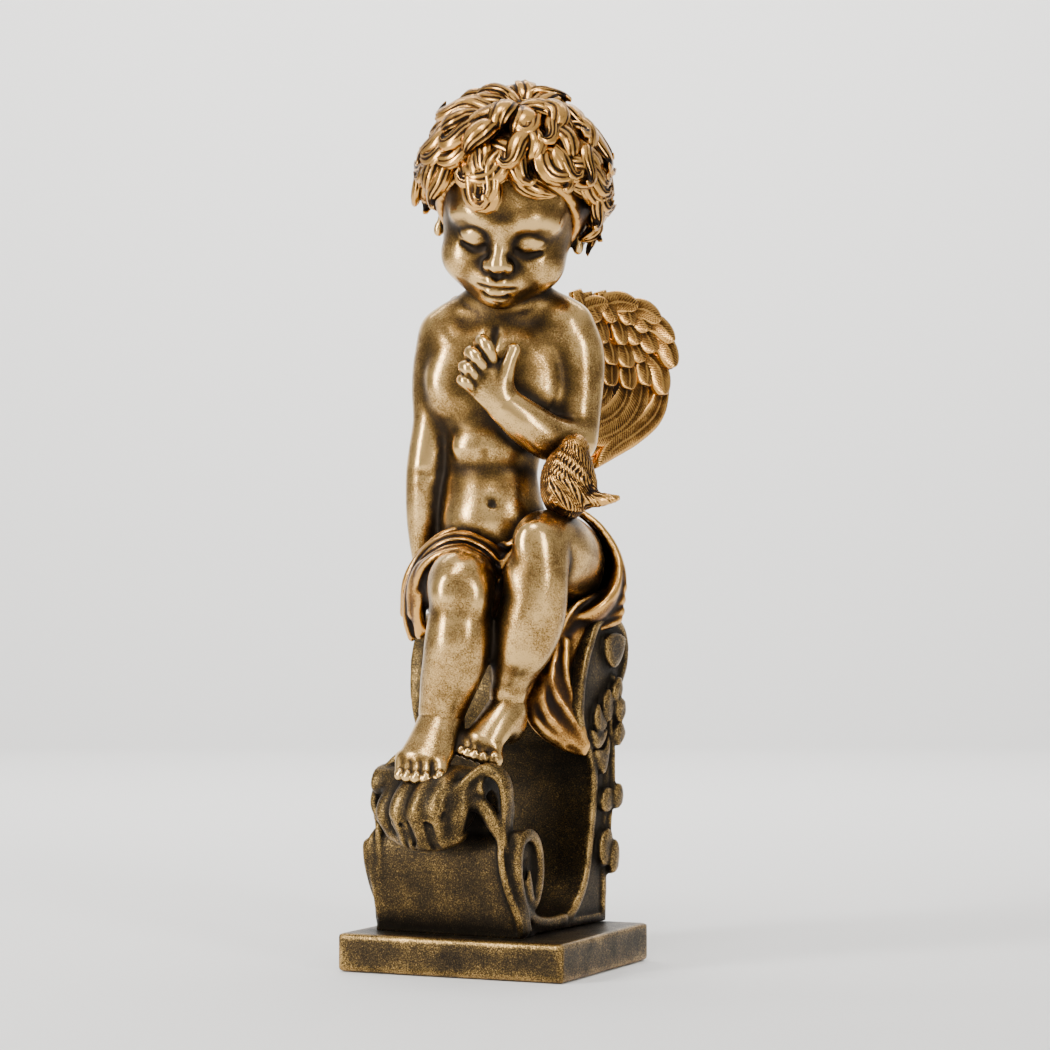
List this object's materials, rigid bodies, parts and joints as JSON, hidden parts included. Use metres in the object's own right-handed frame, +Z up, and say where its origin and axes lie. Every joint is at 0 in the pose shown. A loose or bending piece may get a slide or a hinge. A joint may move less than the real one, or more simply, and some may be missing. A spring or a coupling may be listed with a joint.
{
  "type": "seated angel child statue with a bird on a scroll pedestal",
  "caption": "Seated winged child with a small bird on the knee, on a scroll pedestal and square plinth, for a shelf or table.",
  "frame": {"origin": "middle of the plinth's underside, where the statue stands", "axes": "+Z up, the plinth's front faces -Y, the viewer's right is +X"},
  "size_m": [0.2104, 0.2651, 0.6017],
  "materials": {
    "dark_bronze": "dark brown patina over cast bronze, stippled, with edges worn to a dull gold",
    "skin_bronze": "rubbed pale bronze with dark wash in the hollows",
    "gilt_bronze": "warm copper-gold bronze with dark wash between the carved lines"
  },
  "bodies": {
    "root": {"plinth": "dark_bronze", "scroll_pedestal": "dark_bronze", "angel_figure": "skin_bronze", "left_wing": "gilt_bronze", "right_wing": "gilt_bronze", "bird": "gilt_bronze"}
  },
  "joints": []
}
